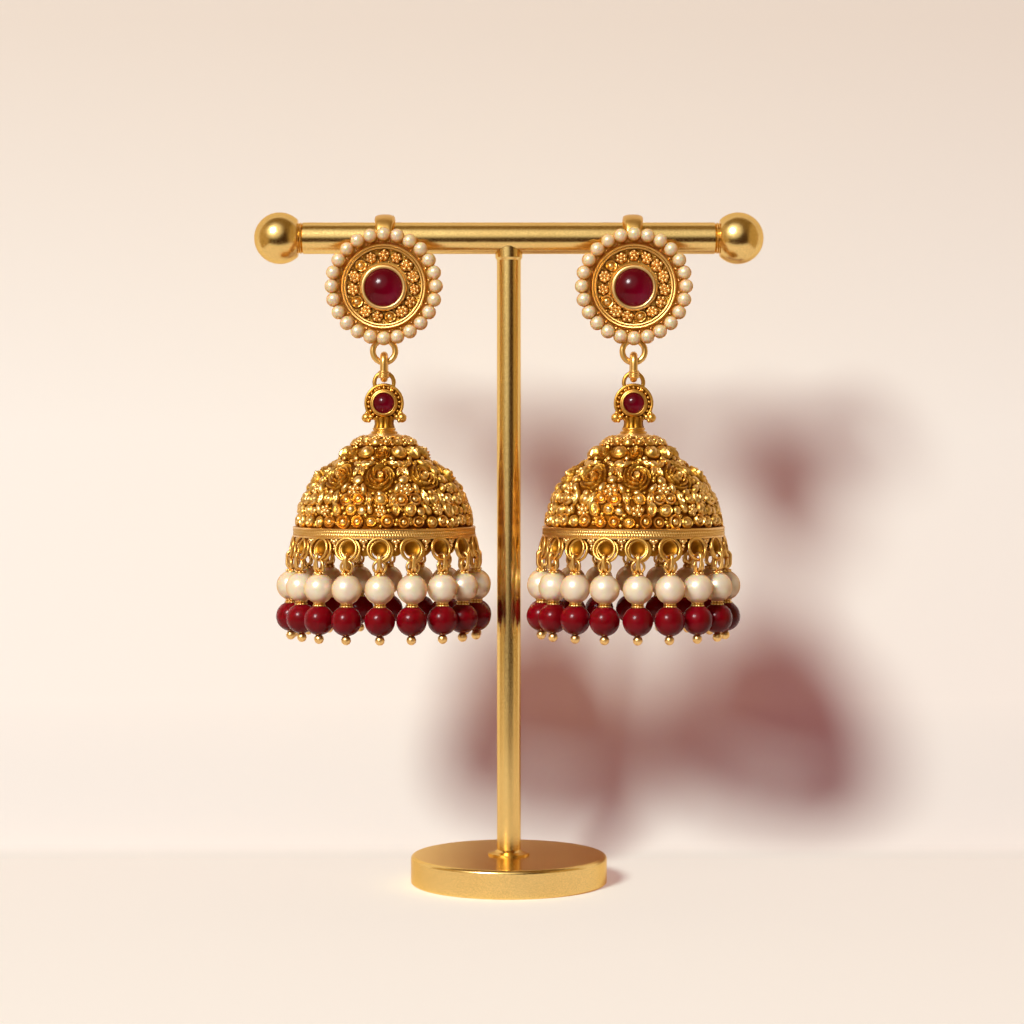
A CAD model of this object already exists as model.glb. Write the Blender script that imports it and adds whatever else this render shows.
"""Looks of a pair of jhumka earrings on a T-bar stand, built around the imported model.

Shapes are worked out in millimetres around the earring's own hanging axis, with Z up from the stand's foot,
and moved onto the frame in metres. Relief runs from 0 in a recess, where the gold is browned, to 1.
"""

from math import cos, pi, radians, sin, tau

import bpy
import numpy as np
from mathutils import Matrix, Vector


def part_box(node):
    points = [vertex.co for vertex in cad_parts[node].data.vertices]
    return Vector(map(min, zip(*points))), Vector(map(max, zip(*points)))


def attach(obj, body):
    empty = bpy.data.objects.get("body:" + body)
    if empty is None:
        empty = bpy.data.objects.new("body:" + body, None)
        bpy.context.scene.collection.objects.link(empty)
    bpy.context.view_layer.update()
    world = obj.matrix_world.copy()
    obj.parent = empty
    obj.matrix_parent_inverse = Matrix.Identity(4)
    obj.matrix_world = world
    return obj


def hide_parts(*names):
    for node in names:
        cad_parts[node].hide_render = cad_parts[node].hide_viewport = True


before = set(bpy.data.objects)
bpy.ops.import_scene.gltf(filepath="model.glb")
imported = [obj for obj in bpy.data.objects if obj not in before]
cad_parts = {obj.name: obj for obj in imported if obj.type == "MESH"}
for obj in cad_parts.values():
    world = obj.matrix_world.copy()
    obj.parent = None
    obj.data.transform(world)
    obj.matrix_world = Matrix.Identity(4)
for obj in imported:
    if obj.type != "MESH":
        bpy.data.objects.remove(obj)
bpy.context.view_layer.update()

MM = 0.001
SIDES = ("left", "right")
FIRST_SEED = 11
FRONT = -90

# camera and lamp in metres; TO_KEY and TO_SCREEN point from the stand to the key lamp and the screen
CAMERA_AT = (0.0005, -0.4014, 0.0707)
CAMERA_AIM = (0.0005, 0.0, 0.0594)
LENS = 88.4
KEY_AIM = (0, 0, 0.06)
KEY_AWAY = 2.2
KEY_WIDE = 0.59
KEY_WATTS = 54.5
TO_KEY = (-0.433, -0.734, 0.523)
TO_SCREEN = (-0.324, -0.803, 0.50)

# paper: its colour from the floor up, the colour that lights the object, its glow, and its full brightness
PAPER_FLOOR = (0.67, 0.77, 0.66)
PAPER_LOW = (0.85, 0.90, 0.785)
PAPER = (0.83, 0.89, 0.775)
PAPER_HIGH = (0.70, 0.715, 0.585)
PAPER_BOUNCE = (0.32, 0.20, 0.18)
PAPER_LIFT = (0.10, 0.004, 0.024)
PAPER_LIT = (0.96, 0.82, 0.70)

# room: what gloss sees ahead, overhead and at the sides, the light that it gives, and the pale screen
ROOM = (0.05, 0.019, 0.002)
ROOM_ABOVE = (0.23, 0.14, 0.045)
ROOM_SIDE = (0.52, 0.36, 0.16)
ROOM_FILL = (0.15, 0.070, 0.066)
SCREEN = (0.89, 0.84, 0.75)


# ---- places read from the frame, in millimetres


def box_mm(node):
    """Lowest and highest corner of a node."""
    low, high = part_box(node)
    return np.array(low) / MM, np.array(high) / MM


def middle_mm(node):
    """Middle of a node's box."""
    low, high = box_mm(node)
    return (low + high) / 2


STUD_LOWERED = 0.3
BAND_TALL = 1.65
EYE_REACH = 1.82
NECK_RINGS_IN = 0.3

STUD_Z = middle_mm("stud_pearls_left")[2] - STUD_LOWERED
BELL_BOTTOM = box_mm("dome_left")[0][2]
DOME_TOP = box_mm("dome_left")[1][2]
BAND_BOTTOM = BELL_BOTTOM - BAND_TALL
SHIELD_Z = middle_mm("connector_stone_left")[2]
EYE_Z = box_mm("connector_left")[1][2] - EYE_REACH
NECK_X = (box_mm("stand_bar")[1][0] + box_mm("ball_right")[0][0]) / 2 - NECK_RINGS_IN
LINK_TOP = box_mm("link_left")[1][2]
LINK_BOTTOM = box_mm("link_left")[0][2]
BAR_Z = middle_mm("stand_bar")[2]
PLATE_Y = middle_mm("dome_left")[1]


# ---- shapes


class Shape:
    """Points in millimetres, faces as arrays of point numbers, and the relief of each point."""

    def __init__(self, points, faces, relief=1.0):
        self.points = np.asarray(points, float)
        self.faces = faces
        self.relief = np.broadcast_to(np.asarray(relief, float), (len(self.points),)).copy()

    def moved(self, shift=(0, 0, 0), matrix=None):
        """A copy turned by a matrix and then shifted."""
        points = self.points if matrix is None else self.points @ np.asarray(matrix).T
        return Shape(points + np.asarray(shift), self.faces, self.relief)

    def spun(self, degrees):
        """A copy turned around Z."""
        return self.moved(matrix=spin(degrees))


def joined(shapes):
    """One shape of several."""
    faces = []
    start = 0
    for shape in shapes:
        faces += [index + start for index in shape.faces]
        start += len(shape.points)
    return Shape(np.vstack([s.points for s in shapes]), faces, np.concatenate([s.relief for s in shapes]))


def spin(degrees):
    """Turn around Z."""
    c, s = cos(radians(degrees)), sin(radians(degrees))
    return np.array([[c, -s, 0], [s, c, 0], [0, 0, 1]])


def tip(degrees):
    """Turn around X."""
    c, s = cos(radians(degrees)), sin(radians(degrees))
    return np.array([[1, 0, 0], [0, c, -s], [0, s, c]])


def around(shape, count, first):
    """Copies of a shape turned around Z."""
    return joined([shape.spun(first + 360 * k / count) for k in range(count)])


def faced(shape, height):
    """A shape built along +Z from its back, turned to face the front at a height."""
    return shape.moved(matrix=tip(90)).moved((0, 0, height))


def turns(count):
    """Angles that share out a full turn."""
    return np.arange(count) * tau / count


def level(angle, reach, height):
    """Points around Z at a reach and a height for each angle."""
    return np.stack([reach * np.cos(angle), reach * np.sin(angle), 0 * angle + height], -1)


def strip(rows, columns):
    """Quads over rows of a closed ring, facing outwards when the rows go up the outside."""
    r, c = np.meshgrid(np.arange(rows - 1), np.arange(columns), indexing="ij")
    n = (c + 1) % columns
    quads = [r * columns + c, r * columns + n, (r + 1) * columns + n, (r + 1) * columns + c]
    return np.stack(quads, -1).reshape(-1, 4)


def looped(rows, columns):
    """Quads of a strip whose last row meets its first."""
    return strip(rows + 1, columns) % (rows * columns)


def capped(rows, columns):
    """Faces of a strip closed at its first and last rows by two more points."""
    count = rows * columns
    last = count - columns
    ring = np.arange(columns)
    after = np.roll(ring, -1)
    below = np.stack([after, ring, np.full(columns, count)], -1)
    above = np.stack([last + ring, last + after, np.full(columns, count + 1)], -1)
    return [strip(rows, columns), below, above]


def flipped(faces):
    """The same faces seen from the other side."""
    return [index[:, ::-1] for index in faces]


def revolved(profile, segments):
    """Points of a (radius, height) profile turned around Z."""
    return np.vstack([level(turns(segments), radius, height) for radius, height in profile])


def turned(profile, segments, relief=1.0):
    """Closed surface around Z from (radius, height) rows that begin and end on it."""
    rows = np.asarray(profile, float)
    shade = np.broadcast_to(np.asarray(relief, float), (len(rows),))
    points = [revolved(rows[1:-1], segments), [(0, 0, rows[0, 1]), (0, 0, rows[-1, 1])]]
    values = np.append(np.repeat(shade[1:-1], segments), shade[[0, -1]])
    return Shape(np.vstack(points), capped(len(rows) - 2, segments), values)


def softened(profile, size):
    """A profile with every inner corner rounded off by about size."""
    corners = np.asarray(profile, float)
    rows = [corners[0]]
    for before, corner, after in zip(corners, corners[1:], corners[2:]):
        back, ahead = before - corner, after - corner
        back *= min(size / np.hypot(*back), 0.45)
        ahead *= min(size / np.hypot(*ahead), 0.45)
        rows += [corner + back * (1 - t) ** 2 + ahead * t**2 for t in np.linspace(0, 1, 4)]
    return np.array([*rows, corners[-1]])


def ball(radius, centre, segments, rings, relief=1.0):
    """Round ball."""
    angle = np.linspace(-pi / 2, pi / 2, rings + 1)
    profile = np.stack([radius * np.cos(angle), radius * np.sin(angle)], -1)
    return turned(profile, segments, relief).moved(centre)


def tube(path, radius, normal, sides, relief=0.8):
    """Round wire along a closed path in the plane of a normal."""
    ahead = np.roll(path, -1, 0) - np.roll(path, 1, 0)
    ahead /= np.linalg.norm(ahead, axis=1, keepdims=True)
    across = np.cross(ahead, normal)
    across /= np.linalg.norm(across, axis=1, keepdims=True)
    other = np.cross(ahead, across)
    angle = turns(sides)
    ring = np.cos(angle)[None, :, None] * across[:, None] + np.sin(angle)[None, :, None] * other[:, None]
    points = (path[:, None] + radius * ring).reshape(-1, 3)
    return Shape(points, [looped(len(path), sides)], relief)


# for the plane of a ring: order of the coordinates, normal
PLANES = {"XY": ((0, 1, 2), (0, 0, 1)), "XZ": ((0, 2, 1), (0, 1, 0)), "YZ": ((2, 0, 1), (1, 0, 0))}


def wire_ring(radius, wire, count, sides, plane="XY", relief=0.8):
    """Round wire bent to a circle."""
    order, normal = PLANES[plane]
    return tube(level(turns(count), radius, 0)[:, order], wire, normal, sides, relief)


def rope(radius, wire, twists, count, sides):
    """Two thin wires twisted together and bent to a circle around Z."""
    angle = turns(count)
    apart = 0.8 * wire
    strands = []
    for start in (0, pi):
        turn = twists * angle + start
        path = level(angle, radius + apart * np.cos(turn), apart * np.sin(turn))
        strands.append(tube(path, wire, (0, 0, 1), sides))
    return joined(strands)


def oval(half, top, bottom, count=12):
    """Flat oval path with straight sides, as (across, up) rows."""
    up = np.linspace(0, pi, count)
    upper = np.stack([half * np.cos(up), top - half + half * np.sin(up)], -1)
    lower = np.stack([-half * np.cos(up), bottom + half - half * np.sin(up)], -1)
    sides = np.linspace(0, 1, 6)[1:-1, None]
    left = upper[-1] + sides * (lower[0] - upper[-1])
    right = lower[-1] + sides * (upper[0] - lower[-1])
    return np.vstack([upper, left, lower, right])


# ---- raised ornament

SKIRT = 0.4


def lump(width, length, height, spokes, rings, taper=0.0, point=0.0):
    """Closed ornament with a raised face over an oval, narrowed upwards or pointed at both ends."""
    angle, rho = np.meshgrid(turns(spokes), np.arange(1, rings + 1) / rings)
    a, b = rho * np.cos(angle), rho * np.sin(angle)
    narrow = (1 - taper * (b + 1) / 2) * (1 - point * b**2)
    face = np.stack([width / 2 * a * narrow, length / 2 * b, height(rho, angle, a, b)], -1).reshape(-1, 3)
    edge = face[-spokes:] * [1, 1, 0] - [0, 0, SKIRT]
    zero = np.zeros((1, 1))
    top = [0, 0, float(height(zero, zero, zero, zero)[0, 0])]
    points = np.vstack([face, edge, [top], [[0, 0, -SKIRT]]])
    relief = np.clip(points[:, 2] / max(points[:, 2].max(), 0.01), 0, 1)
    return Shape(points, flipped(capped(rings + 1, spokes)), relief)


def peak(value, place, spread):
    """Smooth bump of height 1."""
    return np.exp(-(((value - place) / spread) ** 2))


def swell(rho, reach=1.0, power=0.5):
    """Round swelling, 1 in the middle and 0 from its reach outwards."""
    return np.clip(1 - (rho / reach) ** 2, 0, 1) ** power


def rosette(size, tall, petals, spokes=18, rings=8):
    """Round flower: a raised rim cut into petals around a small dome."""

    def height(rho, angle, a, b):
        rim = peak(rho, 0.78, 0.15) * (1 - 0.3 * (1 - np.cos(petals * angle)) / 2)
        return tall * (0.38 * (1 - rho**4) + 0.45 * rim + 0.62 * swell(rho, 0.52))

    return lump(2 * size, 2 * size, height, spokes, rings)


def ringed_bud(size, tall, spokes=18, rings=8):
    """Granule sitting in a round wire ring."""

    def height(rho, angle, a, b):
        return tall * (0.2 * (1 - rho**8) + 0.66 * peak(rho, 0.78, 0.15) + 0.66 * swell(rho, 0.48))

    return lump(2 * size, 2 * size, height, spokes, rings)


def bud(size, tall, spokes=14, rings=5):
    """Small round granule."""
    return lump(2 * size, 2 * size, lambda rho, *_: tall * swell(rho), spokes, rings)


def knobs(size, tall, petals):
    """Lumpy flower: knobs pressed around a larger one."""
    knob = bud(0.4 * size, 0.78 * tall, 10, 4).moved((0.58 * size, 0, 0.1))
    middle = bud(0.46 * size, tall, 12, 5)
    return joined([middle, bud(0.97 * size, 0.4 * tall, 12, 3), around(knob, petals, 0)])


def leaf(width, length, tall):
    """Pointed leaf with a groove along its middle and faint side veins."""

    def height(rho, angle, a, b):
        veins = 1 + 0.1 * np.cos(11 * (b - 0.6 * np.abs(a)))
        return tall * swell(rho, power=0.55) * (1 - 0.4 * peak(a, 0, 0.2)) * veins

    return lump(width, length, height, 20, 6, point=0.55)


def drop(width, length, tall):
    """Tear drop, round below and narrow above, with a fine raised edge."""

    def height(rho, angle, a, b):
        return tall * (0.25 * (1 - rho**6) + 0.85 * swell(rho, 0.8) + 0.22 * peak(rho, 0.88, 0.1))

    return lump(width, length, height, 18, 7, taper=0.5)


def eye(width, length, tall):
    """Oval with a raised rim and a long raised middle."""

    def height(rho, angle, a, b):
        return tall * (0.45 * (1 - rho**4) + 0.45 * peak(rho, 0.76, 0.14) + 0.4 * peak(rho, 0, 0.34))

    return lump(width, length, height, 22, 8, point=0.18)


def shell(width, length, tall, ribs):
    """Fan-shaped shell with ribs that spread upwards from its foot."""

    def height(rho, angle, a, b):
        spread = np.arctan2(a, b + 1.5)
        return tall * swell(rho) * (0.74 + 0.26 * np.cos(ribs * 4.6 * spread))

    return lump(width, length, height, 32, 8, taper=-0.15)


# layers of a rose from the outside in: petals, reach, how far they curl, height
ROSE_LAYERS = ((5, 0.91, 0.15, 0.5), (4, 0.66, 0.13, 0.7), (3, 0.42, 0.09, 0.86))


def rose(size, tall, turn, spokes=84, rings=28):
    """Cabbage rose: rings of cupped petals that lap around a curled heart."""

    def height(rho, angle, a, b):
        face = 0.1 * (1 - rho**6)
        for petals, outer, curl, high in ROSE_LAYERS:
            lap = (petals * (angle + turn) / tau + outer) % 1
            away = rho - outer + curl * lap
            flank = np.where(away > 0, peak(away, 0, 0.055), 0.3 + 0.7 * peak(away, 0, 0.085))
            face = np.maximum(face, high * flank * np.sin(pi * lap) ** 0.35)
        curled = 1 - 0.16 * np.cos(2 * angle + 26 * rho)
        return tall * np.maximum(face - 0.3 * peak(rho, 0.28, 0.03), 0.95 * swell(rho, 0.25) * curled)

    return lump(2 * size, 2.4 * size, height, spokes, rings)


def pressed(shape, rng, amount=0.1):
    """A copy pushed a little out of round and tilted, as hand-set ornament is."""
    turn = spin(rng.uniform(0, 360))
    copy = shape.moved(matrix=turn)
    reach = np.abs(copy.points[:, 0]).max()
    raised = np.clip(copy.points[:, 2], 0, None)
    tilt, wide, deep = rng.uniform(-amount, amount, 3)
    copy.points[:, 2] += 3 * tilt * raised * copy.points[:, 0] / reach
    copy.points *= [1 + wide, 1 + deep, 1]
    return copy.moved(matrix=turn.T)


class Slope:
    """Circular arc of an outline through three points, measured up from its lower end."""

    def __init__(self, low, middle, high):
        low, middle, high = (np.asarray(p, float) for p in (low, middle, high))
        squares = [middle @ middle - low @ low, high @ high - low @ low]
        self.centre = np.linalg.solve(2 * np.array([middle - low, high - low]), squares)
        self.radius = np.hypot(*(low - self.centre))
        self.start, end = (np.arctan2(*(p - self.centre)[::-1]) for p in (low, high))
        self.length = self.radius * (end - self.start)

    def at(self, s):
        """Radius and height at s, and the outward normal there."""
        angle = self.start + np.asarray(s) / self.radius
        out, up = np.cos(angle), np.sin(angle)
        return self.centre[0] + self.radius * out, self.centre[1] + self.radius * up, out, up

    def rows(self, count):
        """Points of the outline, from the lower end up."""
        return np.stack(self.at(np.linspace(0, self.length, count))[:2], -1)


def laid(shape, slope, degrees, s, turn=0.0):
    """A flat ornament laid on a slope: u runs around, v up the slope and w outwards."""
    u, v, w = (shape.points @ spin(turn).T).T
    radius, height, out, up = slope.at(s + v)
    angle = radians(degrees) + u / slope.at(s)[0]
    return Shape(level(angle, radius + w * out, height + w * up), shape.faces, shape.relief)


# ---- dome

BELL = Slope((13.55, BELL_BOTTOM), (11.3, BELL_BOTTOM + 6.4), (7.0, BELL_BOTTOM + 10.3))
SHOULDER = Slope((6.95, DOME_TOP - 4.0), (6.2, DOME_TOP - 2.95), (4.8, DOME_TOP - 2.4))
CAP = Slope((5.15, DOME_TOP - 1.95), (4.3, DOME_TOP - 1.15), (3.2, DOME_TOP - 0.7))

ROSES = 9
SECTOR = 360 / ROSES
ROSE_R = 2.4
ROSE_S = 8.75
ROSE_TALL = 1.15

# long ornaments: half their width, and how far their outer circles stand from the middle, for a size of 1
LONG_KINDS = {"drop": (0.7, 0.45), "eye": (0.7, 0.45), "leaf": (0.5, 0.7)}

# one ninth of the bell: kind, degrees from the rose's middle, distance up the slope, size, turn
BELL_CHART = (
    ("ringed", -15, 1.05, 1.08, 0), ("rosette", -5, 1, 1.04, 20), ("ringed", 5, 1.1, 1.12, 40),
    ("ringed", 15, 1, 1.02, 10), ("rosette", -20, 2.85, 1.12, 15), ("bud", -12.2, 2.65, 0.74, 0),
    ("drop", -7, 3, 0.9, 24), ("knobs", 0.5, 2.8, 1.14, 0), ("eye", 9.6, 2.85, 1.08, 10),
    ("ringed", -15.2, 4.6, 1.14, 0), ("leaf", -6.9, 4.75, 1.12, 8), ("rosette", 0.6, 4.6, 1.08, 0),
    ("leaf", 7.8, 4.65, 1.12, -10), ("ringed", 14.8, 4.6, 1.05, 0), ("knobs", 20, 6.2, 1.15, 0),
    ("drop", -12.6, 6.4, 1, 24), ("drop", 12.2, 6.45, 1, -24), ("bud", 0, 5.7, 0.62, 0),
    ("bud", 20, 8.05, 0.88, 0), ("leaf", 17, 9.9, 0.95, -12), ("leaf", 22.6, 9.85, 0.95, 14),
    ("bud", 20, 11.6, 0.9, 0), ("leaf", 11.8, 11.6, 0.88, 52), ("leaf", -11.8, 11.6, 0.88, -52),
)

# granules in the gaps of the bell, the largest first: size, tries, room left around each for a size of 1
BELL_SEEDS = ((0.85, 1500, 0.45), (0.62, 2500, 0.42), (0.46, 4000, 0.25), (0.36, 5000, 0.2))

# rows of the cap: flowers, their size, and how far up the cap they sit
CAP_ROWS = ((17, 0.96, 0.33), (13, 0.86, 0.78))


def chart_piece(kind, size, rng):
    """One ornament of the bell at its size."""
    if kind == "rosette":
        return rosette(size, 0.62 * size, int(rng.integers(5, 8)))
    if kind == "ringed":
        return ringed_bud(size, 0.68 * size)
    if kind == "knobs":
        return knobs(size, 0.62 * size, int(rng.integers(5, 7)))
    if kind == "bud":
        return bud(size, 0.68 * size)
    if kind == "drop":
        return drop(1.6 * size, 2.3 * size, 0.72 * size)
    if kind == "eye":
        return eye(1.6 * size, 2.3 * size, 0.72 * size)
    return leaf(1.25 * size, 2.7 * size, 0.66 * size)


def footprint(kind, place, s, size, turn):
    """Circles that an ornament covers: one, or three along a long one."""
    if kind not in LONG_KINDS:
        return [(place, s, size)]
    wide, reach = LONG_KINDS[kind]
    out, up = -sin(radians(turn)) * reach * size, cos(radians(turn)) * reach * size
    sideways = np.degrees(out / BELL.at(s)[0])
    return [(place + k * sideways, s + k * up, wide * size) for k in (-1, 0, 1)]


def bell_ornament(rng):
    """Roses with flowers, leaves and buds between them, and the circles that they cover."""
    pieces, taken = [], []
    for sector in range(ROSES):
        middle = FRONT + SECTOR * sector
        place = middle + rng.uniform(-1, 1)
        pieces.append(laid(rose(ROSE_R, ROSE_TALL, rng.uniform(0, tau)), BELL, place, ROSE_S))
        taken += [(place, ROSE_S + k * 0.2 * ROSE_R, ROSE_R) for k in (-1, 1)]
        for kind, degrees, up, size, lean in BELL_CHART:
            grown = size * rng.uniform(0.92, 1.1)
            shape = pressed(chart_piece(kind, grown, rng), rng)
            place = middle + degrees + rng.uniform(-1.1, 1.1)
            s = up + rng.uniform(-0.15, 0.15)
            turn = lean + rng.uniform(-14, 14)
            pieces.append(laid(shape, BELL, place, s, turn))
            taken += footprint(kind, place, s, grown, turn)
    return pieces, taken


def bell_seeds(rng, taken):
    """Small buds in the gaps between the flowers."""
    covered = np.array(taken)
    pieces = []
    for size, tries, room in BELL_SEEDS:
        seed = ringed_bud(size, 0.78 * size, 14, 6) if size > 0.5 else bud(size, 0.8 * size, 10, 3)
        seed.relief *= min(1, 1.2 * size)
        for place, s in zip(rng.uniform(-180, 180, tries), rng.uniform(0.35, BELL.length - 0.25, tries)):
            apart = (place - covered[:, 0] + 180) % 360 - 180
            across = np.radians(apart) * BELL.at(s)[0]
            gap = np.hypot(across, s - covered[:, 1]) - covered[:, 2]
            if gap.min() > room * size:
                covered = np.vstack([covered, (place, s, size)])
                pieces.append(laid(pressed(seed, rng, 0.16), BELL, place, s))
    return pieces


def tier_ornament(rng):
    """Blossoms and shells on the second tier, and two rows of flowers on the cap."""
    pieces = []
    lumps = 15
    for k in range(lumps):
        place = FRONT + 360 * k / lumps + rng.uniform(-1, 1)
        bloom = rose(1.36, 0.9, rng.uniform(0, tau), 40, 13)
        kinds = (bloom, shell(2.9, 2.9, 0.85, 5), rosette(1.38, 0.85, 6, 28, 8))
        shape = kinds[(k * 2 + k // 3) % len(kinds)]
        pieces.append(laid(shape, SHOULDER, place, SHOULDER.length * 0.47, rng.uniform(-12, 12)))
        for size, tall, up in ((0.5, 0.42, 0.02), (0.42, 0.35, 0.88)):
            pieces.append(laid(bud(size, tall, 10, 4), SHOULDER, place + 180 / lumps, SHOULDER.length * up))
    for count, size, up in CAP_ROWS:
        kinds = (rosette(size, 0.6, 5, 18, 6), knobs(size, 0.55, 5), ringed_bud(size, 0.6, 16, 6))
        for k in range(count):
            place = FRONT + 360 * (k + 0.4) / count + rng.uniform(-1.5, 1.5)
            pieces.append(laid(kinds[(k + count) % len(kinds)], CAP, place, CAP.length * up))
            pieces.append(laid(bud(0.3, 0.3, 8, 3), CAP, place + 180 / count, CAP.length * (up - 0.24)))
    return pieces


def below_top(*rows):
    """Outline rows given as radius and depth below the dome's top."""
    return [(radius, DOME_TOP - depth) for radius, depth in rows]


def dome_shell():
    """The turned bell under the ornament, open below, with its moulded top."""
    moulding = below_top((5.1, 2.3), (5.42, 2.2), (5.46, 2.05), (5.25, 1.95))
    outer = np.vstack([BELL.rows(36), below_top((7.0, 4.15)), SHOULDER.rows(10), moulding, CAP.rows(10)])
    steps = below_top((3.2, 0.6), (3.28, 0.42), (2.86, 0.34), (2.84, 0.2), (2.42, 0.12), (2.4, 0), (1.2, 0))
    crown = softened(steps, 0.08)
    inner = Slope((13.0, BELL_BOTTOM), (10.2, BELL_BOTTOM + 6.9), (3.0, DOME_TOP - 2.55))
    hollow = np.vstack([[(0, DOME_TOP - 1.1)], inner.rows(24)[::-1]])
    profile = np.vstack([hollow, outer, crown[1:], [(0, DOME_TOP)]])
    relief = np.repeat([0.5, 0.0, 0.9], [len(hollow), len(outer), len(crown)])
    return turned(profile, 144, relief)


def dome(rng):
    """Bell with its seeds and tiers, and its flowers apart."""
    flowers, taken = bell_ornament(rng)
    return joined([dome_shell(), *bell_seeds(rng, taken), *tier_ornament(rng)]), joined(flowers)


# ---- rim band, rings and bead strings

STRINGS = 18
RING_R = 1.57
RING_TILT = 11
RING_Z = BAND_BOTTOM - 1.55
RING_MIDDLE = 14.1 + RING_R * sin(radians(RING_TILT))
STRING_R = 14.1 + 2 * RING_R * sin(radians(RING_TILT))
PEARL_R = 2.32
BEAD_R = 2.36
END_BALL_R = 0.75
END_BALL_Z = box_mm("bead_string_left_01")[0][2] + END_BALL_R
BEAD_Z = END_BALL_Z + 2.95
SPACER_Z = BEAD_Z + 2.45
PEARL_Z = SPACER_Z + 2.4
CAP_Z = PEARL_Z + PEARL_R
LOOP_BOTTOM = CAP_Z + 0.35
LOOP_TOP = RING_Z - 0.68

# outline of the band: radius, height over its lower edge, way that the notches cut it, relief
NOTCHES = 216
BAND = (
    (13.55, 0, 0, 0.3), (14.25, 0, 0, 0.7), (14.45, 0.08, 0, 1), (14.45, 0.34, 0, 1),
    (14.32, 0.4, 0, 0.45), (14.36, 0.48, 1, 0.85), (14.36, 0.76, 1, 0.85), (14.3, 0.84, 0, 0.4),
    (14.36, 0.92, -1, 0.85), (14.36, 1.2, -1, 0.85), (14.32, 1.28, 0, 0.45), (14.45, 1.34, 0, 1),
    (14.45, 1.56, 0, 1), (14.3, BAND_TALL, 0, 0.5), (13.55, BAND_TALL, 0, 0.2),
)

# outline of the thin wall inside the rings: radius, share of its depth
COLLAR = ((13.1, 1.0), (13.42, 1.0), (13.5, 0.9), (13.5, 0.0), (13.1, 0.0))

# outline of the cup behind each ring, from the middle of its hollow: radius, height, relief
CUP = (
    (0, 0.5, 0.13), (0.5, 0.44, 0.13), (0.92, 0.22, 0.16), (1.16, -0.1, 0.3),
    (1.28, -0.12, 0.7), (1.3, 0, 0.6), (1, 0.42, 0.3), (0.5, 0.6, 0.2), (0, 0.64, 0.2),
)

# granules between two rings: size, way across, height from the band's lower edge
RIM_GRAINS = (
    (0.46, 0, -0.38), (0.34, 0.42, -0.16), (0.34, -0.42, -0.16), (0.3, 0.08, -1.05),
    (0.24, -0.06, -1.5),
)

# outline of a spacer: radius, height, whether its ribs are cut there
SPACER = (
    (0.72, -0.42, 0), (0.97, -0.38, 1), (1.04, -0.22, 1), (0.96, -0.06, 1), (0.76, 0, 0),
    (0.9, 0.07, 1), (0.97, 0.21, 1), (0.88, 0.36, 1), (0.68, 0.42, 0),
)


def band():
    """Flat band with two rows of fine notches between plain edges."""
    count = 4 * NOTCHES
    angle = turns(count)
    points, relief = [], []
    for radius, height, phase, shade in BAND:
        cut = phase * np.cos(NOTCHES * angle)
        points.append(level(angle, radius + 0.055 * cut, BAND_BOTTOM + height))
        relief.append(np.clip(shade + 0.3 * cut, 0, 1))
    return Shape(np.vstack(points), [looped(len(BAND), count)], np.concatenate(relief))


def collar():
    """Thin wall inside the rings, hanging lowest between them."""
    count = 16 * STRINGS
    angle = turns(count)
    depth = 2.0 - 0.7 * np.cos(STRINGS * (angle - radians(FRONT)))
    points = [level(angle, radius, BAND_BOTTOM + 0.1 - share * depth) for radius, share in COLLAR]
    return Shape(np.vstack(points), [looped(len(COLLAR), count)], 0.26)


def rim(rng):
    """Band, and under it two wire rings over a cup for each string, with granules between."""
    cup_rows = np.array(CUP)
    cup = turned(cup_rows[:, :2], 28, cup_rows[:, 2]).moved(matrix=tip(-90)).moved((0.04, 0.24, 0.22))
    grains = joined([ball(size, (14.05, y, BAND_BOTTOM + up), 10, 7) for size, y, up in RIM_GRAINS])
    parts = [band(), collar()]
    for k in range(STRINGS):
        aside = rng.uniform(-0.2, -0.1)
        front = wire_ring(1.7, 0.21, 40, 8, "XZ", 0.68).moved((aside, -0.24, 0.05))
        aside, lowered = rng.uniform(0.14, 0.3), rng.uniform(-0.14, -0.02)
        back = wire_ring(1.66, 0.23, 40, 8, "XZ", 0.6).moved((aside, 0.2, lowered))
        leaning = joined([front, back, cup]).moved(matrix=tip(-RING_TILT)).spun(90)
        place = spin(FRONT + 360 * k / STRINGS)
        parts.append(leaning.moved((RING_MIDDLE, 0, RING_Z)).moved(matrix=place))
        parts.append(grains.moved(matrix=spin(180 / STRINGS) @ place))
    return joined(parts)


def loop():
    """Narrow eye through the ring, a rounder one at its foot, and granules on the pearl."""
    path = oval(0.7, LOOP_TOP, LOOP_BOTTOM + 0.1)
    lowered = np.clip((LOOP_TOP - 0.9 - path[:, 1]) / 1.6, 0, 1)
    parts = []
    for side in (-1, 1):
        line = np.stack([path[:, 0], side * (0.08 + 0.2 * lowered**2), path[:, 1]], -1)
        parts.append(tube(line, 0.23, (0, 1, 0), 8))
    parts.append(wire_ring(0.95, 0.21, 28, 8, "YZ").moved((0.1, 0, CAP_Z + 1.12)))
    parts.append(around(ball(0.25, (0.66, 0, CAP_Z + 0.05), 8, 6), 7, 0))
    cap = ((0, -0.2), (0.85, -0.2), (0.8, 0), (0.4, 0.3), (0, 0.4))
    parts.append(turned(cap, 20, 0.5).moved((0, 0, CAP_Z)))
    return joined(parts)


def spacer():
    """Two ribbed beads of gold between the pearl and the red bead."""
    ribs = 12
    count = 4 * ribs
    angle = turns(count)
    wave = np.abs(np.cos(ribs / 2 * angle)) ** 0.7
    points, relief = [], []
    for radius, height, ribbed in SPACER:
        points.append(level(angle, radius - 0.1 * ribbed * (1 - wave), height))
        relief.append(0.3 + 0.7 * wave * ribbed)
    ends = [(0, 0, SPACER[0][1]), (0, 0, SPACER[-1][1])]
    shade = np.append(np.concatenate(relief), [0.5, 0.5])
    return Shape(np.vstack([*points, ends]), capped(len(SPACER), count), shade).moved((0, 0, SPACER_Z))


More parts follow.
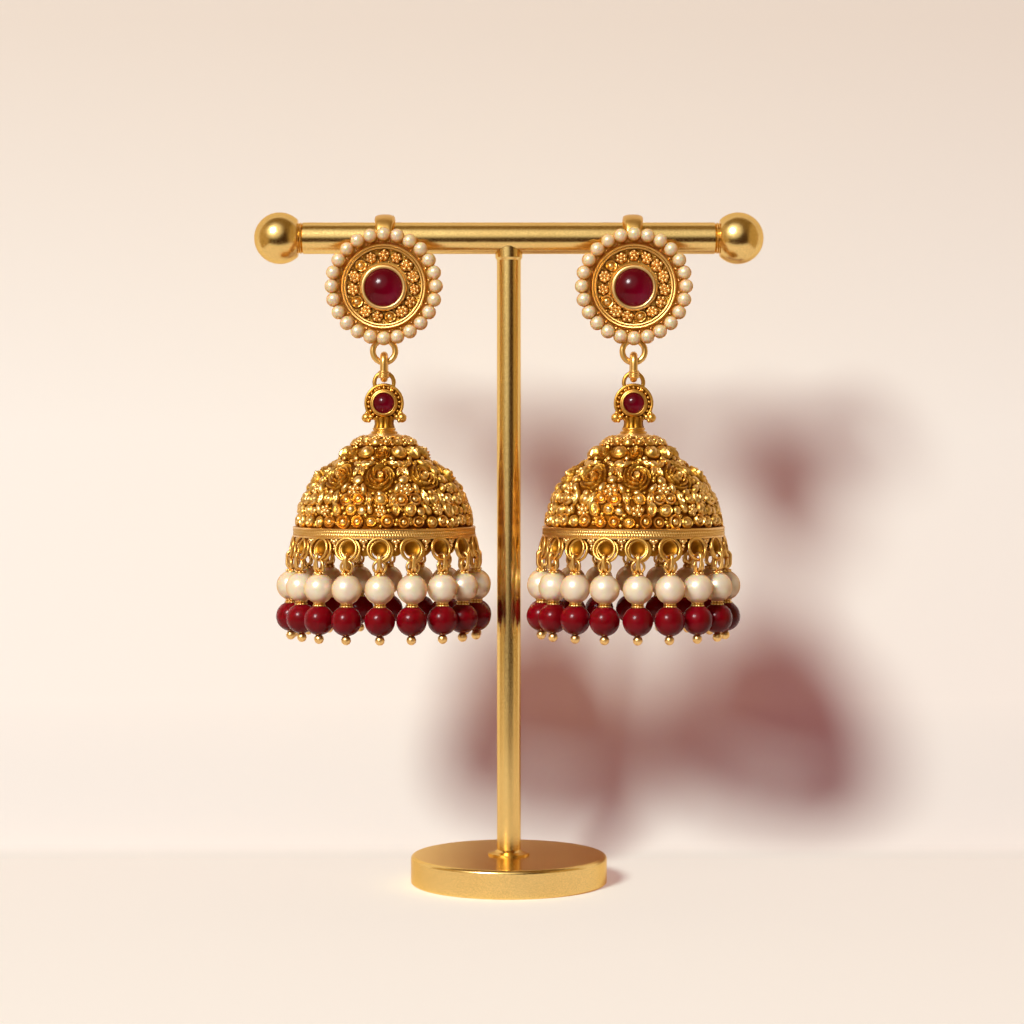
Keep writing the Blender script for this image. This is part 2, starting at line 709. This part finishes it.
def string_metal():
    """Loop, ribbed spacer and end ball of one bead string, about its own line."""
    tail = turned(((0, 0), (0.36, 0), (0.42, 0.16), (0.3, 0.4), (0, 0.4)), 14)
    end = ball(END_BALL_R, (0, 0, END_BALL_Z), 22, 14)
    return joined([loop(), spacer(), tail.moved((0, 0, END_BALL_Z + 0.5)), end])


def strings(rng):
    """Metal, pearls and red beads of the strings, each hanging a little differently."""
    metal, pearls, beads = [], [], []
    parts = string_metal()
    pearl = ball(PEARL_R, (0, 0, PEARL_Z), 34, 22)
    bead = ball(BEAD_R, (0, 0, BEAD_Z), 34, 22)
    pivot = np.array([0, 0, LOOP_TOP])
    for k in range(STRINGS):
        lean = tip(rng.uniform(-1.1, 1.1)) @ spin(90) @ tip(rng.uniform(-0.9, 0.9)) @ spin(-90)
        place = FRONT + 360 * k / STRINGS
        for source, found in ((parts, metal), (pearl, pearls), (bead, beads)):
            hung = source.moved(-pivot).moved(pivot, lean).moved((STRING_R, 0, 0))
            found.append(hung.spun(place))
    return joined(metal), joined(pearls), joined(beads)


# ---- stud, hook, link and connector

SEED_PEARLS = 24
SEED_RING = 8.2
SEED_R = 1.08
FLANGE_T = 0.45
FIELD_T = 0.62
STONE_DROP = -0.25
FLOWERS = 15

# outlines from the back outwards: the stud's plate with its rim, its bezel, and the shield with its own
PLATE = (
    (0, 0), (8.45, 0), (8.6, 0.2), (8.4, FLANGE_T), (6.95, FLANGE_T), (6.72, 0.6), (6.66, 1.15),
    (5.98, 1.15), (5.92, FIELD_T), (0, FIELD_T),
)
BEZEL = ((0, 0.5), (3.74, 0.5), (3.66, 1.6), (3.46, 1.9), (3.1, 1.92), (2.9, 1.75), (2.88, 1.3), (0, 1.3))
SHIELD = (
    (0, -0.6), (2.85, -0.6), (3.02, -0.4), (3.02, 0.2), (2.75, 0.22), (2.3, 0.18), (2.16, 0.5),
    (2.16, 0.95), (1.98, 1.0), (1.9, 1.25), (1.68, 1.3), (1.58, 1.1), (1.57, 0.8), (0, 0.8),
)

# cabochons: radius, floor, girdle and top over the back of the plate, segments
STUD_STONE = (2.93, 1.35, 1.7, 3.1, 56)
SMALL_STONE = (1.59, 0.85, 1.08, 1.95, 40)

# granules beside the shield: size, way across, way back, height from its middle, segments, rings
SIDE_GRAINS = (
    (0.76, 2.8, -0.05, -2.3, 22, 14), (0.48, 2.05, -0.35, -2.2, 16, 11),
    (0.34, 2.4, -0.55, -2.75, 12, 8), (0.32, 2.7, -0.3, -1.55, 12, 8),
)


def stud_setting(rng):
    """Round plate, twisted rim, granulated field, bezel and hanging ring."""
    plate = softened(PLATE, 0.1)
    reach = plate[:, 0]
    field = (reach > 2.0) & (reach < 5.96)
    groove = (reach > 6.0) & (reach < 6.64)
    relief = np.where(field, 0.42, np.where(groove, 0.15, np.where(reach > 6.9, 0.6, 1.0)))
    parts = [turned(plate, 128, relief), turned(softened(BEZEL, 0.1), 96).moved((0, STONE_DROP, 0))]
    for radius, wire in ((6.5, 0.13), (6.08, 0.115)):
        parts.append(rope(radius, wire, 90, 540, 5).moved((0, 0, 1.2)))
    kinds = (knobs(1.1, 0.95, 5), knobs(1.08, 0.9, 6), rosette(1.1, 0.95, 5, 26, 10), knobs(1.12, 1.0, 7))
    for k in range(FLOWERS):
        kind = pressed(kinds[(k + k // 4) % len(kinds)], rng, 0.12)
        kind.relief **= 0.6
        place = 90 + 360 / FLOWERS * k
        parts.append(kind.spun(37 * k).moved((4.87, 0, FIELD_T)).spun(place))
        for radius in (3.98, 5.72):
            grain = ball(0.2, (radius, 0, 0.7), 8, 6, 0.7)
            parts.append(grain.spun(place + 180 / FLOWERS))
    parts.append(around(ball(0.24, (7.16, 0, FIELD_T), 8, 6, 0.9), SEED_PEARLS, 90 + 180 / SEED_PEARLS))
    parts.append(around(wire_ring(1.02, 0.11, 24, 6).moved((SEED_RING, 0, 0.95)), SEED_PEARLS, 90))
    hanger = wire_ring(1.77, 0.48, 56, 14, "XZ").moved((0, 0, STUD_Z - 10.2))
    return joined([faced(joined(parts), STUD_Z), hanger])


def seed_pearls(rng):
    """Seed pearls around the plate, not quite round and not quite alike."""
    parts = []
    for k in range(SEED_PEARLS):
        pearl = ball(SEED_R * rng.uniform(0.96, 1.01), (0, 0, 0), 26, 16)
        pearl.points *= [1, rng.uniform(0.97, 1.03), 1]
        shift = (SEED_RING + rng.uniform(-0.05, 0.05), 0, FLANGE_T + 0.02 + SEED_R)
        parts.append(pearl.spun(rng.uniform(0, 360)).moved(shift).spun(90 + 360 * k / SEED_PEARLS))
    return faced(joined(parts), STUD_Z)


def cabochon(radius, floor, girdle, top, segments):
    """Polished round stone with a domed face along +Z."""
    rise = top - girdle
    sphere = (radius**2 + rise**2) / (2 * rise)
    spread = np.linspace(np.arcsin(min(radius / sphere, 1)), 0, 18)
    dome_rows = np.stack([sphere * np.sin(spread), top - sphere + sphere * np.cos(spread)], -1)
    return turned(np.vstack([[(0, floor), (radius, floor)], dome_rows]), segments)


def ear_hook():
    """Flat strap from behind the plate over the bar, with a rounded crest."""
    inner, thick, columns = 2.8, 0.95, 24
    middle = inner + thick / 2
    front = [(-middle, z) for z in np.linspace(-9.0, -0.6, 12)]
    top = [(-middle * cos(a), middle * sin(a)) for a in np.linspace(0, pi, 41)]
    back = [(middle, z) for z in np.linspace(-0.6, -6.5, 9)]
    line = np.array(front + top + back)
    crest = np.clip((line[:, 1] / middle - 0.35) / 0.5, 0, 1)
    crest = crest**2 * (3 - 2 * crest)
    angle = turns(columns)
    ahead = np.gradient(line, axis=0)
    ahead /= np.linalg.norm(ahead, axis=1, keepdims=True)
    points = []
    for (y, z), (ty, tz), high in zip(line, ahead, crest):
        out = np.array([0, -tz, ty])
        power = 0.5 + 0.4 * high
        across = np.sign(np.cos(angle)) * np.abs(np.cos(angle)) ** power * (1.2 + 0.38 * high)
        lift = np.sign(np.sin(angle)) * np.abs(np.sin(angle)) ** power * thick / 2
        lift = np.where(lift > 0, lift * (1 + 0.06 * high), lift)
        points.append(np.array([0, y, z]) + across[:, None] * [1, 0, 0] + lift[:, None] * out)
    points = np.vstack([*points, [[0, *line[0]]], [[0, *line[-1]]]])
    return Shape(points, flipped(capped(len(line), columns)), 0.75).moved((0, -PLATE_Y, BAR_Z))


def link():
    """Oblong link on edge, with a beaded collar around its front strand, just above its foot."""
    path = oval(1.25, LINK_TOP - 0.6, LINK_BOTTOM + 0.6, 18)
    made = tube(np.insert(path, 0, 0, axis=1), 0.6, (1, 0, 0), 16)
    beaded = [(0.83 + 0.07 * cos(3 * pi * z / 0.6), z) for z in np.linspace(-0.6, 0.6, 25)]
    wrap = turned([(0, -0.62), *beaded, (0, 0.62)], 28, 0.8)
    return joined([made, wrap.moved((0, -1.38, LINK_BOTTOM + 1.25))])


def neck():
    """Fluted neck, its ring and the flange that sits on the dome."""
    columns, levels, flutes = 96, 12, 10
    low, tall = DOME_TOP + 0.85, 1.75
    angle = turns(columns)
    wave = np.abs(np.cos(flutes / 2 * angle)) ** 0.7
    rows = []
    for t in np.linspace(0, 1, levels):
        radius = 1.52 + 0.22 * (2 * t - 1) ** 2
        rows.append(level(angle, radius - 0.2 * (1 - wave), low + tall * t))
    points = np.vstack([*rows, [(0, 0, low), (0, 0, low + tall)]])
    relief = np.append(np.tile(0.05 + 0.5 * wave, levels), [1.0, 1.0])
    body = Shape(points, capped(levels, columns), relief)
    flange = ((0, 0), (2.08, 0), (2.12, 0.3), (1.75, 0.48), (1.72, 0.6), (1.86, 0.72), (1.8, 0.9))
    foot = softened((*flange, (1.5, 0.95), (0, 0.95)), 0.08)
    return joined([body, turned(foot, 64).moved((0, 0, DOME_TOP))])


def connector():
    """Eye, shield with granules and bezel, fluted neck and flange."""
    rows = softened(SHIELD, 0.07)
    ledge = (rows[:, 0] > 2.2) & (rows[:, 0] < 2.85) & (rows[:, 1] > 0)
    parts = [turned(rows, 80, np.where(ledge, 0.1, 1.0)), wire_ring(2.9, 0.24, 64, 8).moved((0, 0, 0.24))]
    parts += [ball(0.25, (2.45, 0, 0.4), 10, 7).spun(-64 + 17.1 * k) for k in range(19)]
    pieces = [faced(joined(parts), SHIELD_Z), wire_ring(1.53, 0.33, 44, 12, "XZ").moved((0, 0, EYE_Z))]
    pieces += [ball(0.36, (x, -0.1, EYE_Z - 1.2), 14, 9) for x in (-1.15, 1.15)]
    for side in (-1, 1):
        for size, x, y, z, segments, rings in SIDE_GRAINS:
            pieces.append(ball(size, (side * x, y, SHIELD_Z + z), segments, rings))
    made = joined([*pieces, neck()])
    made.relief *= 0.6
    return made


def neck_rings():
    """Two fine rings between the bar and each end ball, on the bar's own axis."""
    larger = ((2.1, -0.29), (2.42, -0.29), (2.5, -0.18), (2.42, -0.06), (2.24, 0.0))
    profile = (*larger, (2.38, 0.06), (2.42, 0.16), (2.34, 0.27), (2.1, 0.27))
    along_bar = np.array([[0, 0, 1], [0, 1, 0], [-1, 0, 0]])
    ring = Shape(revolved(profile, 72), [looped(len(profile), 72)])
    return around(ring.moved((NECK_X, 0, 0), along_bar), 2, 0).moved((0, 0, BAR_Z))


# ---- materials


class Look:
    """Nodes of a material or the world, with a short call for each kind."""

    def __init__(self, tree):
        self.tree = tree

    def add(self, kind, **settings):
        """New node with its settings."""
        node = self.tree.nodes.new("ShaderNode" + kind)
        for name, value in settings.items():
            setattr(node, name, value)
        return node

    def feed(self, node, values):
        """Gives each socket a value or another node's output."""
        for key, value in values.items():
            socket = node.inputs[key]
            if isinstance(value, bpy.types.NodeSocket):
                self.tree.links.new(value, socket)
            elif isinstance(value, tuple) and socket.type == "RGBA":
                socket.default_value = (*value, 1)
            else:
                socket.default_value = value

    def math(self, operation, *values, clamp=False):
        """Number worked out from others."""
        node = self.add("Math", operation=operation, use_clamp=clamp)
        self.feed(node, dict(enumerate(values)))
        return node.outputs[0]

    def dot(self, first, second):
        """Dot product of two directions."""
        node = self.add("VectorMath", operation="DOT_PRODUCT")
        self.feed(node, {0: first, 1: second})
        return node.outputs["Value"]

    def place(self, output):
        """Texture coordinate of a kind."""
        return self.add("TexCoord").outputs[output]

    def axes(self, output):
        """X, Y and Z of a texture coordinate."""
        node = self.add("SeparateXYZ")
        self.feed(node, {0: self.place(output)})
        return node.outputs

    def noise(self, scale, detail, roughness=0.5):
        """Noise in the object's own metres."""
        node = self.add("TexNoise")
        vector = self.place("Object")
        self.feed(node, {"Vector": vector, "Scale": scale, "Detail": detail, "Roughness": roughness})
        return node.outputs["Fac"]

    def ramp(self, value, *stops):
        """Colour ramp over a value, from stops of a place and a colour."""
        node = self.add("ValToRGB")
        elements = node.color_ramp.elements
        while len(elements) < len(stops):
            elements.new(0.5)
        for element, (place, colour) in zip(elements, stops):
            element.position = place
            element.color = (*colour, 1)
        self.feed(node, {"Fac": value})
        return node.outputs["Color"]

    def span(self, value, low, high, to_low=0, to_high=1):
        """Value moved from one span to another."""
        node = self.add("MapRange")
        ends = {"From Min": low, "From Max": high, "To Min": to_low, "To Max": to_high}
        self.feed(node, {"Value": value, **ends})
        return node.outputs["Result"]

    def mix(self, amount, first, second, blend="MIX"):
        """Two colours mixed."""
        node = self.add("Mix", data_type="RGBA", blend_type=blend)
        self.feed(node, {0: amount, 6: first, 7: second})
        return node.outputs[2]

    def bump(self, shader, height, strength, distance):
        """Bump on the shader's normal."""
        node = self.add("Bump")
        self.feed(node, {"Strength": strength, "Distance": distance, "Height": height})
        self.feed(shader, {"Normal": node.outputs["Normal"]})


def material(name):
    """New node material, its nodes and its shader."""
    made = bpy.data.materials.new(name)
    made.use_nodes = True
    return made, Look(made.node_tree), made.node_tree.nodes["Principled BSDF"]


def antique_gold():
    """Polished gold, brightest on raised parts and browned in the recesses."""
    made, look, shader = material("antique_gold")
    relief = look.add("Attribute", attribute_name="relief").outputs["Fac"]
    worn = look.math("MULTIPLY_ADD", look.noise(900, 4, 0.6), 0.22, relief)
    tone = look.ramp(
        worn,
        (0.08, (0.11, 0.024, 0.0005)), (0.34, (0.35, 0.145, 0.010)), (0.62, (0.71, 0.395, 0.077)),
        (0.88, (0.84, 0.515, 0.150)), (1.0, (0.88, 0.57, 0.225)),
    )
    cloud = look.ramp(look.noise(220, 2), (0.3, (0.88, 0.84, 0.78)), (0.7, (1, 1, 1)))
    look.feed(shader, {
        "Base Color": look.mix(1.0, tone, cloud, "MULTIPLY"),
        "Metallic": look.span(worn, 0.05, 0.4, 0.9, 1.0),
        "Roughness": look.span(worn, 0.15, 0.7, 0.6, 0.35),
        "Specular IOR Level": 0.1,
    })
    look.bump(shader, look.noise(2600, 2), 0.22, 0.00003)
    return made


def satin_gold():
    """Satin gold plate with a fine sparkling grain."""
    made, look, shader = material("satin_gold")
    grain = look.noise(5200, 2, 0.7)
    tone = look.ramp(look.noise(60, 3), (0.3, (0.88, 0.59, 0.205)), (0.7, (0.95, 0.68, 0.265)))
    speck = look.ramp(grain, (0.35, (0.80, 0.78, 0.74)), (0.62, (1, 1, 1)))
    look.feed(shader, {
        "Base Color": look.mix(1.0, tone, speck, "MULTIPLY"),
        "Metallic": 1.0,
        "Specular Tint": (0.97, 0.80, 0.50),
        "Roughness": look.span(grain, 0.3, 0.7, 0.17, 0.27),
    })
    look.bump(shader, grain, 0.35, 0.00002)
    return made


def pearl(name, dull, clear, skin):
    """Pearl with faint clouds, and light that spreads warm under its skin."""
    made, look, shader = material(name)
    look.feed(shader, {
        "Base Color": look.ramp(look.noise(330, 2), (0.3, dull), (0.5, clear), (0.72, dull)),
        "Roughness": 0.33,
        "Metallic": 0.18,
        "Specular IOR Level": 1.0,
        "Subsurface Weight": 0.85,
        "Subsurface Radius": (1.0, 0.5, 0.22),
        "Subsurface Scale": 0.0032,
        "Coat Weight": 1.0,
        "Coat Roughness": 0.2,
        "Coat IOR": 1.02,
        "Coat Tint": skin,
        "Sheen Weight": 0.35,
        "Sheen Roughness": 0.35,
        "Sheen Tint": (1.0, 0.70, 0.38),
    })
    look.bump(shader, look.noise(1100, 3), 0.12, 0.00002)
    return made


def red_glass():
    """Deep red glass with soft clouds, and light that spreads inside it."""
    made, look, shader = material("red_glass")
    stops = ((0.32, (0.155, 0.0008, 0.0035)), (0.7, (0.20, 0.001, 0.006)))
    look.feed(shader, {
        "Base Color": look.ramp(look.noise(300, 2), *stops),
        "Roughness": 0.21,
        "Specular IOR Level": 0.15,
        "Subsurface Weight": 1.0,
        "Subsurface Radius": (1.0, 0.3, 0.3),
        "Subsurface Scale": 0.006,
    })
    look.bump(shader, look.noise(700, 2), 0.04, 0.00002)
    return made


def ruby_glass():
    """Clear deep ruby, glowing low on one side where the light gathers."""
    made, look, shader = material("ruby_glass")
    axes = look.axes("Generated")
    low_side = look.math("SUBTRACT", axes["X"], axes["Z"])
    clouded = look.math("MULTIPLY_ADD", look.noise(240, 2), 0.25, low_side)
    stops = ((0.0, (0.12, 0.0004, 0.006)), (0.35, (0.195, 0.0008, 0.013)), (0.8, (0.38, 0.002, 0.05)))
    look.feed(shader, {
        "Base Color": look.ramp(clouded, *stops),
        "Roughness": 0.18,
        "Specular IOR Level": 0.1,
        "Transmission Weight": 0.25,
    })
    look.bump(shader, look.noise(700, 2), 0.04, 0.00002)
    return made


# ---- pieces on their bodies


def placed(name, data):
    """New object in the scene."""
    made = bpy.data.objects.new(name, data)
    bpy.context.scene.collection.objects.link(made)
    return made


def piece(name, shape, side, body, finish, sharp, *nodes):
    """Mesh in metres on its earring's or the stand's axis, in place of CAD nodes."""
    slot, surface = finish
    x, y = middle_mm(f"dome_{side}")[:2] if side else (0, 0)
    points = (shape.points + [x, y, 0]) * MM
    sizes = np.concatenate([np.full(len(index), index.shape[1]) for index in shape.faces])
    corners = np.concatenate([index.ravel() for index in shape.faces])
    mesh = bpy.data.meshes.new(name)
    mesh.vertices.add(len(points))
    mesh.vertices.foreach_set("co", points.ravel())
    mesh.loops.add(len(corners))
    mesh.loops.foreach_set("vertex_index", corners)
    mesh.polygons.add(len(sizes))
    mesh.polygons.foreach_set("loop_start", np.concatenate([[0], np.cumsum(sizes)[:-1]]))
    mesh.update(calc_edges=True)
    mesh.validate()
    relief = mesh.attributes.new("relief", "FLOAT", "POINT")
    relief.data.foreach_set("value", shape.relief.astype(np.float32))
    mesh.set_sharp_from_angle(angle=radians(sharp))
    mesh.materials.append(surface)
    made = placed(name, mesh)
    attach(made, body)
    if nodes:
        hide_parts(*nodes)


def earring(side, seed, gold, cream, honey, ruby, red):
    """All pieces of one earring."""
    rng = np.random.default_rng(seed)
    plate = stud_setting(rng)
    seeds = seed_pearls(rng)
    bell, flowers = dome(rng)
    rings = rim(rng)
    metal, pearls, beads = strings(rng)
    stone = faced(cabochon(*STUD_STONE), STUD_Z + STONE_DROP)
    small = faced(cabochon(*SMALL_STONE), SHIELD_Z)
    hung = f"drop_{side}"
    threads = [f"bead_string_{side}_{k + 1:02d}" for k in range(STRINGS)]
    # name, shape, body, finish, angle of sharp edges, CAD node replaced, or none for the strings
    pieces = (
        ("stud_plate", plate, "stand", gold, 50, "stud_setting"),
        ("seed_pearls", seeds, "stand", honey, 60, "stud_pearls"),
        ("stud_ruby", stone, "stand", ruby, 60, "stud_stone"),
        ("hook_strap", ear_hook(), "stand", gold, 50, "ear_hook"),
        ("oval_link", link(), f"link_{side}", gold, 60, "link"),
        ("shield", connector(), hung, gold, 50, "connector"),
        ("small_ruby", small, hung, ruby, 60, "connector_stone"),
        ("dome_shell", bell, hung, gold, 50, "dome"),
        ("dome_flowers", flowers, hung, gold, 50, "dome"),
        ("rim_rings", rings, hung, gold, 50, "rim"),
        ("string_metal", metal, hung, gold, 50, None),
        ("fringe_pearls", pearls, hung, cream, 60, None),
        ("fringe_beads", beads, hung, red, 60, None),
    )
    for name, shape, body, finish, sharp, node in pieces:
        nodes = [f"{node}_{side}"] if node else threads
        piece(f"{name}_{side}", shape, side, body, finish, sharp, *nodes)


def stand(surface):
    """The CAD stand keeps its shape and takes its finish."""
    for name in ("stand_base", "stand_post", "stand_bar", "ball_left", "ball_right"):
        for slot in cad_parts[name].material_slots:
            slot.material = surface


# ---- camera, light and stage


def aimed(name, data, place, target):
    """New camera or lamp at a place, looking at a target."""
    made = placed(name, data)
    made.location = place
    made.rotation_mode = "QUATERNION"
    made.rotation_quaternion = (Vector(target) - Vector(place)).to_track_quat("-Z", "Y")
    return made


def camera():
    """Camera at the photograph's angle."""
    data = bpy.data.cameras.new("camera")
    data.lens = LENS
    data.sensor_width = 36
    data.clip_start = 0.01
    bpy.context.scene.camera = aimed("camera", data, CAMERA_AT, CAMERA_AIM)


def key_lamp():
    """Soft round lamp high on the left in front."""
    data = bpy.data.lights.new("key", "AREA")
    data.shape = "DISK"
    data.size = KEY_WIDE
    data.energy = KEY_WATTS
    made = aimed("key", data, np.array(KEY_AIM) + KEY_AWAY * np.array(TO_KEY), KEY_AIM)
    made.visible_camera = False


def room():
    """World: a screen and side walls that only gloss sees, and paper where the sweep ends."""
    world = bpy.data.worlds.new("studio")
    bpy.context.scene.world = world
    world.use_nodes = True
    look = Look(world.node_tree)
    path = look.add("LightPath").outputs
    axes = look.axes("Generated")
    behind = look.span(axes["Y"], 0.1, 0.25)
    glossy = look.math("MAXIMUM", path["Is Glossy Ray"], path["Is Transmission Ray"])
    paper = look.math("MAXIMUM", look.math("MULTIPLY", glossy, behind), path["Is Camera Ray"])
    overhead = look.span(axes["Z"], 0.15, 0.75)
    beside = look.span(look.math("ABSOLUTE", axes["X"]), 0.60, 0.78)
    screened = look.span(look.dot(look.place("Generated"), TO_SCREEN), 0.77, 0.90)
    reflected = look.mix(beside, look.mix(overhead, ROOM, ROOM_ABOVE), ROOM_SIDE)
    reflected = look.mix(screened, reflected, SCREEN)
    seen = look.mix(path["Is Diffuse Ray"], reflected, ROOM_FILL)
    look.feed(world.node_tree.nodes["Background"], {"Color": look.mix(paper, seen, PAPER_LIT)})


def backdrop_material():
    """Cream paper with mauve shadows, evenly lit round its bend and seen through from behind."""
    made, look, shader = material("cream_paper")
    path = look.add("LightPath").outputs
    side = look.add("NewGeometry").outputs
    height = look.span(look.axes("Object")["Z"], 0.0, 0.145)
    graded = look.ramp(height, (0, PAPER_FLOOR), (0.008, PAPER_LOW), (0.5, PAPER), (1.0, PAPER_HIGH))
    facing = look.dot(side["Normal"], TO_KEY)
    evened = look.math("DIVIDE", -1.02 * TO_KEY[1], facing, clamp=True)
    even = look.mix(1.0, graded, evened, "MULTIPLY")
    missing = look.math("MULTIPLY_ADD", facing, 1 / TO_KEY[1], 1.0, clamp=True)
    lit_too = tuple(a + b for a, b in zip(PAPER_LIFT, PAPER_LIT))
    look.feed(shader, {
        "Base Color": look.mix(path["Is Diffuse Ray"], even, PAPER_BOUNCE),
        "Roughness": 0.9,
        "Specular IOR Level": 0.1,
        "Emission Color": look.mix(missing, PAPER_LIFT, lit_too),
        "Emission Strength": look.math("MAXIMUM", path["Is Camera Ray"], path["Is Glossy Ray"]),
    })
    from_behind = look.math("MULTIPLY", path["Is Camera Ray"], side["Backfacing"])
    blend = look.add("MixShader")
    look.feed(blend, {0: from_behind, 1: shader.outputs[0], 2: look.add("BsdfTransparent").outputs[0]})
    look.feed(made.node_tree.nodes["Material Output"], {"Surface": blend.outputs[0]})
    return made


def sweep(paper):
    """Paper floor that curves up into a wall, clear of the drops when they swing back."""
    wall_y, bend, half, front, top = 0.045, 0.025, 0.21, -0.16, 0.30
    rows = [(front, 0.0), (wall_y - bend, 0.0)]
    rows += [(wall_y - bend + bend * sin(a), bend - bend * cos(a)) for a in np.linspace(0, pi / 2, 17)[1:]]
    rows.append((wall_y, top))
    points = [(x, y, z) for y, z in rows for x in (-half, half)]
    faces = [(2 * k, 2 * k + 1, 2 * k + 3, 2 * k + 2) for k in range(len(rows) - 1)]
    mesh = bpy.data.meshes.new("paper_sweep")
    mesh.from_pydata(points, [], faces)
    mesh.materials.append(paper)
    mesh.shade_smooth()
    placed("paper_sweep", mesh)


# finishes: material slot, material
gold = "antique_gold", antique_gold()
cream = "pearl", pearl("pearl", (0.81, 0.765, 0.68), (0.87, 0.84, 0.755), (1.0, 0.90, 0.76))
honey = "pearl", pearl("seed_pearl", (0.80, 0.715, 0.59), (0.87, 0.80, 0.69), (1.0, 0.87, 0.67))
ruby = "ruby_stone", ruby_glass()
red = "red_bead", red_glass()
satin = "stand_gold", satin_gold()
stand(satin[1])
piece("neck_rings", neck_rings(), None, "stand", satin, 50)
for number, name in enumerate(SIDES):
    earring(name, FIRST_SEED + number, gold, cream, honey, ruby, red)
camera()
key_lamp()
room()
sweep(backdrop_material())

bpy.context.scene.view_settings.view_transform = "Standard"
